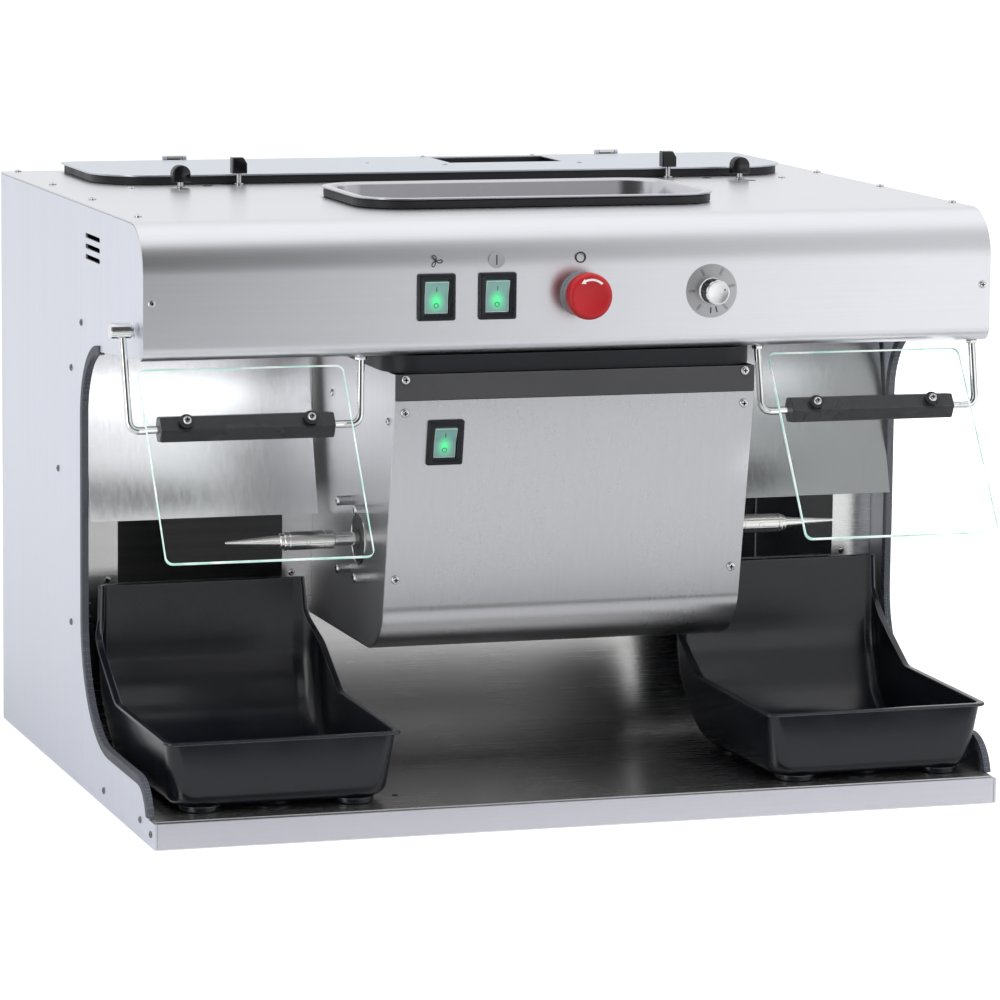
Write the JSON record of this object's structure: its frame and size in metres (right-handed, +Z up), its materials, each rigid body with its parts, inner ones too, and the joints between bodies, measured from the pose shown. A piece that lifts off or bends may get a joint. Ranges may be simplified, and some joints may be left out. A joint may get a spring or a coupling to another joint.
{
  "type": "polishing lathe",
  "caption": "Bench polishing lathe: steel cabinet with two working bays, a taper spindle each side of a central motor, tilting glass shields, scoop trays and built-in extraction.",
  "frame": {"origin": "on the bench, under the middle of the whole outline as the machine stands", "axes": "+X to the right seen from the front, +Y to the back, +Z up"},
  "size_m": [0.7438, 0.6114, 0.5163],
  "materials": {
    "stainless": "horizontally brushed stainless sheet",
    "satin_plate": "fine satin sheet, cool light grey",
    "dark_strip": "dark grey satin paint",
    "black_rubber": "matt black rubber",
    "black_plastic": "moulded black plastic",
    "tray_plastic": "satin charcoal moulding",
    "chrome": "bright plated",
    "ground_steel": "turned and ground steel",
    "cast_alloy": "cast alloy",
    "clear_glass": "clear glass with green edges",
    "green_lens": "lit green lens under a clear sealed cap",
    "stop_red": "glossy red moulding",
    "grey_plastic": "light grey collar",
    "filter_media": "pleated filter fleece"
  },
  "bodies": {
    "cabinet": {"left_side_plate": "satin_plate", "right_side_plate": "satin_plate", "left_edge_trim": "black_rubber", "right_edge_trim": "black_rubber", "left_deflector": "stainless", "right_deflector": "stainless", "left_housing_wall": "stainless", "right_housing_wall": "stainless", "base_pan": "stainless", "left_foot_rail": "black_rubber", "right_foot_rail": "black_rubber", "work_floor": "stainless", "ceiling_panel": "stainless", "rear_panel": "stainless", "power_inlet": "black_plastic", "hood": "stainless", "motor_front_cover": "stainless", "cover_top_strip": "dark_strip", "neck_seal": "black_plastic", "motor_body": "cast_alloy", "left_bearing": "ground_steel", "right_bearing": "ground_steel", "left_shield_outer_rod": "chrome", "left_shield_inner_rod": "chrome", "right_shield_inner_rod": "chrome", "right_shield_outer_rod": "chrome", "fan_switch_frame": "black_plastic", "motor_switch_frame": "black_plastic", "cover_switch_frame": "black_plastic", "stop_collar": "grey_plastic", "control_box": "cast_alloy", "left_lid_hinge": "chrome", "right_lid_hinge": "chrome", "pan_gasket": "black_rubber", "filter_cassette": "filter_media", "fan_housing": "stainless", "fan_motor": "cast_alloy"},
    "rotor": {"rotor_shaft": "ground_steel", "left_spindle": "ground_steel", "right_spindle": "ground_steel"},
    "fan_wheel": {"fan_impeller": "cast_alloy"},
    "left_shield": {"left_shield_bar": "black_plastic", "left_shield_glass": "clear_glass"},
    "right_shield": {"right_shield_bar": "black_plastic", "right_shield_glass": "clear_glass"},
    "fan_switch": {"fan_rocker": "green_lens"},
    "motor_switch": {"motor_rocker": "green_lens"},
    "cover_switch": {"cover_rocker": "green_lens"},
    "stop_plunger": {"stop_stem": "black_plastic"},
    "stop_head": {"stop_button": "stop_red"},
    "speed_control": {"speed_knob": "ground_steel"},
    "lid": {"lid_plate": "stainless", "lid_gasket": "black_rubber"},
    "left_lid_toggle": {"left_toggle": "black_plastic"},
    "right_lid_toggle": {"right_toggle": "black_plastic"},
    "left_lid_clamp": {"left_clamp_knob": "black_plastic"},
    "right_lid_clamp": {"right_clamp_knob": "black_plastic"},
    "parts_pan": {"top_pan": "stainless"},
    "left_tray": {"left_catch_tray": "tray_plastic"},
    "right_tray": {"right_catch_tray": "tray_plastic"}
  },
  "joints": [
    {"name": "rotor_spin", "type": "hinge", "parent": "cabinet", "child": "rotor", "pos_m": [0.011, -0.13, 0.221], "axis": [1, 0, 0], "continuous": true},
    {"name": "fan_spin", "type": "hinge", "parent": "cabinet", "child": "fan_wheel", "pos_m": [0.13, 0.165, 0.393], "axis": [1, 0, 0], "continuous": true},
    {"name": "left_shield_tilt", "type": "hinge", "parent": "cabinet", "child": "left_shield", "pos_m": [-0.2628, -0.224, 0.3292], "axis": [-1, 0, 0], "range_deg": [-10, 90]},
    {"name": "right_shield_tilt", "type": "hinge", "parent": "cabinet", "child": "right_shield", "pos_m": [0.2697, -0.224, 0.3292], "axis": [-1, 0, 0], "range_deg": [-10, 90]},
    {"name": "fan_switch_rock", "type": "hinge", "parent": "cabinet", "child": "fan_switch", "pos_m": [-0.1085, -0.2326, 0.431], "axis": [1, 0, 0], "range_deg": [-14, 0]},
    {"name": "motor_switch_rock", "type": "hinge", "parent": "cabinet", "child": "motor_switch", "pos_m": [-0.0574, -0.2326, 0.431], "axis": [1, 0, 0], "range_deg": [-14, 0]},
    {"name": "cover_switch_rock", "type": "hinge", "parent": "cabinet", "child": "cover_switch", "pos_m": [-0.0985, -0.22692, 0.31336], "axis": [1, 0, 0], "range_deg": [-14, 0]},
    {"name": "stop_press", "type": "slide", "parent": "cabinet", "child": "stop_plunger", "axis": [0, 1, 0], "range_m": [0, 0.0044], "stiffness_N_per_m": 1200},
    {"name": "stop_release_twist", "type": "hinge", "parent": "stop_plunger", "child": "stop_head", "pos_m": [0.014, -0.253, 0.431], "axis": [0, 1, 0], "range_deg": [0, 45], "stiffness_Nm_per_rad": 0.02},
    {"name": "speed_turn", "type": "hinge", "parent": "cabinet", "child": "speed_control", "pos_m": [0.1255, -0.235, 0.431], "axis": [0, 1, 0], "range_deg": [-135, 135]},
    {"name": "lid_open", "type": "hinge", "parent": "cabinet", "child": "lid", "pos_m": [0.019, 0.2971, 0.5023], "axis": [-1, 0, 0], "range_deg": [0, 100]},
    {"name": "left_toggle_turn", "type": "hinge", "parent": "cabinet", "child": "left_lid_toggle", "pos_m": [-0.1775, 0.127, 0.5], "axis": [0, 0, 1], "range_deg": [0, 90]},
    {"name": "right_toggle_turn", "type": "hinge", "parent": "cabinet", "child": "right_lid_toggle", "pos_m": [0.2145, 0.127, 0.5], "axis": [0, 0, 1], "range_deg": [0, 90]},
    {"name": "left_clamp_turn", "type": "hinge", "parent": "cabinet", "child": "left_lid_clamp", "pos_m": [-0.2355, 0.101, 0.5], "axis": [0, 0, 1], "range_deg": [0, 90]},
    {"name": "right_clamp_turn", "type": "hinge", "parent": "cabinet", "child": "right_lid_clamp", "pos_m": [0.2725, 0.101, 0.5], "axis": [0, 0, 1], "range_deg": [0, 90]},
    {"name": "parts_pan_lift", "type": "slide", "parent": "cabinet", "child": "parts_pan", "axis": [0, 0, 1], "range_m": [0, 0.06]},
    {"name": "left_tray_pull", "type": "slide", "parent": "cabinet", "child": "left_tray", "axis": [0, -1, 0], "range_m": [0, 0.12]},
    {"name": "right_tray_pull", "type": "slide", "parent": "cabinet", "child": "right_tray", "axis": [0, -1, 0], "range_m": [0, 0.12]}
  ]
}
